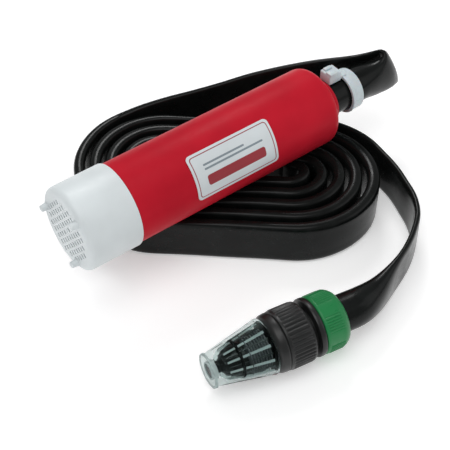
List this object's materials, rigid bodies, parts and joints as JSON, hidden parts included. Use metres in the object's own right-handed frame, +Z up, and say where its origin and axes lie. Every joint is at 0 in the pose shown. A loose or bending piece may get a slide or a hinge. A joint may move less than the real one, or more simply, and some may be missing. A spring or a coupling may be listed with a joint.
{
  "type": "bilge pump",
  "caption": "In-line submersible bilge pump with slotted strainer cap, coiled lay-flat discharge hose and adjustable hose nozzle.",
  "frame": {"origin": "middle of the rigid pump, from the strainer's feet to the end of the outlet's hose cuff, on the pump's axis", "axes": "+X along the pump from the strainer to the outlet, +Z up from the coiled hose that the pump lies on"},
  "size_m": [0.2403, 0.2172, 0.0773],
  "materials": {
    "red_plastic": "moulded red plastic, satin to gloss",
    "white_plastic": "cool white moulded plastic, satin",
    "label": null,
    "hose_rubber": "black lay-flat hose, slightly glossy",
    "seal_rubber": "black sealing rubber",
    "clamp_nylon": "natural nylon, slightly translucent",
    "grey_plastic": "dark grey moulded plastic",
    "black_plastic": "black moulded plastic, satin",
    "green_plastic": "green moulded plastic, satin to gloss",
    "clear_plastic": "clear moulded plastic",
    "steel": "plain steel",
    "copper": "copper, enamelled on the windings",
    "bronze": "sintered bronze bushes",
    "magnet": "ferrite magnets, dull dark grey",
    "carbon": "carbon brushes, dull black"
  },
  "bodies": {
    "pump": {"pump_shell": "red_plastic", "cable_grommet": "black_plastic", "label_plate": "label", "hose_cuff": "hose_rubber", "hose_clamp": "clamp_nylon", "inlet_plate": "grey_plastic", "volute_ring": "grey_plastic", "guide_vanes": "grey_plastic", "rear_spider": "grey_plastic", "shaft_seal": "seal_rubber", "motor_capsule": "grey_plastic", "capsule_plug": "black_plastic", "capsule_o_ring": "seal_rubber", "motor_can": "steel", "front_bearing": "bronze", "rear_bearing": "bronze", "end_bell": "black_plastic", "magnet_top": "magnet", "magnet_bottom": "magnet", "brush_left": "carbon", "brush_right": "carbon", "hose_lead": "hose_rubber", "hose_coil": "hose_rubber", "hose_tail": "hose_rubber", "hose_end": "hose_rubber", "connector_body": "black_plastic", "lock_claws": "white_plastic", "sleeve_spring": "steel", "connector_seal": "seal_rubber"},
    "rotor": {"shaft": "steel", "impeller": "white_plastic", "armature": "steel", "front_winding": "copper", "rear_winding": "copper", "commutator": "copper"},
    "cap_gasket": {"cap_seal": "seal_rubber"},
    "cap": {"strainer_cap": "white_plastic"},
    "nozzle": {"nozzle_stem": "black_plastic", "thread_bush": "grey_plastic"},
    "cone_ring": {"cone_o_ring": "seal_rubber"},
    "cone": {"nozzle_cone": "clear_plastic"},
    "sleeve": {"lock_sleeve": "black_plastic"},
    "collet": {"grip_ring": "white_plastic"},
    "nut": {"clamp_nut": "green_plastic"}
  },
  "joints": [
    {"name": "rotor_spin", "type": "hinge", "parent": "pump", "child": "rotor", "pos_m": [-0.013, 0, 0], "axis": [1, 0, 0], "continuous": true},
    {"name": "cap_travel", "type": "slide", "parent": "pump", "child": "cap_gasket", "axis": [-1, 0, 0], "range_m": [0, 0.00901]},
    {"name": "cap_turn", "type": "hinge", "parent": "cap_gasket", "child": "cap", "pos_m": [-0.08, 0, 0], "axis": [-1, 0, 0], "range_deg": [0, 1080]},
    {"name": "nozzle_pull", "type": "slide", "parent": "pump", "child": "nozzle", "axis": [-0.9877, 0.1564, 0], "range_m": [0, 0.03]},
    {"name": "cone_travel", "type": "slide", "parent": "nozzle", "child": "cone_ring", "axis": [-0.9877, 0.1564, 0], "range_m": [0, 0.00601]},
    {"name": "cone_turn", "type": "hinge", "parent": "cone_ring", "child": "cone", "pos_m": [-0.081, -0.099, -0.035], "axis": [-0.9877, 0.1564, 0], "range_deg": [0, 720]},
    {"name": "sleeve_slide", "type": "slide", "parent": "pump", "child": "sleeve", "axis": [0.9877, -0.1564, 0], "range_m": [0, 0.0023], "stiffness_N_per_m": 800, "springref_m": -0.004, "deforming": ["sleeve_spring"]},
    {"name": "nut_travel", "type": "slide", "parent": "pump", "child": "collet", "axis": [0.9877, -0.1564, 0], "range_m": [0, 0.00401]},
    {"name": "nut_turn", "type": "hinge", "parent": "collet", "child": "nut", "pos_m": [-0.081, -0.099, -0.035], "axis": [0.9877, -0.1564, 0], "range_deg": [0, 480]}
  ],
  "couplings": [
    {"joint": "cap_travel", "follows": "cap_turn", "m_per_rad": 0.00047746},
    {"joint": "cone_travel", "follows": "cone_turn", "m_per_rad": 0.00047746},
    {"joint": "nut_travel", "follows": "nut_turn", "m_per_rad": 0.00047746}
  ]
}
